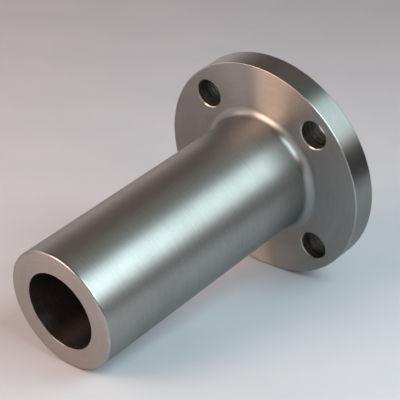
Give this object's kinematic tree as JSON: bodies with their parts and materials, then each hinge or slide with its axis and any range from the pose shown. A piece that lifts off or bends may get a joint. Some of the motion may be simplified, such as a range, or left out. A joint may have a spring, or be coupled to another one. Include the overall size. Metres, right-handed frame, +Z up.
{
  "type": "weld neck flange",
  "caption": "Long weld neck pipe flange: a drilled, raised-face bolting ring on a straight thick-walled neck with a plain end that is welded to a pipe.",
  "frame": {"origin": "on the bore axis, midway between the raised face and the weld end", "axes": "+Y along the bore axis from the raised face to the weld end, +Z up with the bolt holes straddling it, +X completes the right-handed frame"},
  "size_m": [0.1524, 0.2032, 0.1524],
  "materials": {
    "turned_steel": "satin turned steel"
  },
  "bodies": {
    "root": {"weld_neck_flange": "turned_steel"}
  },
  "joints": []
}
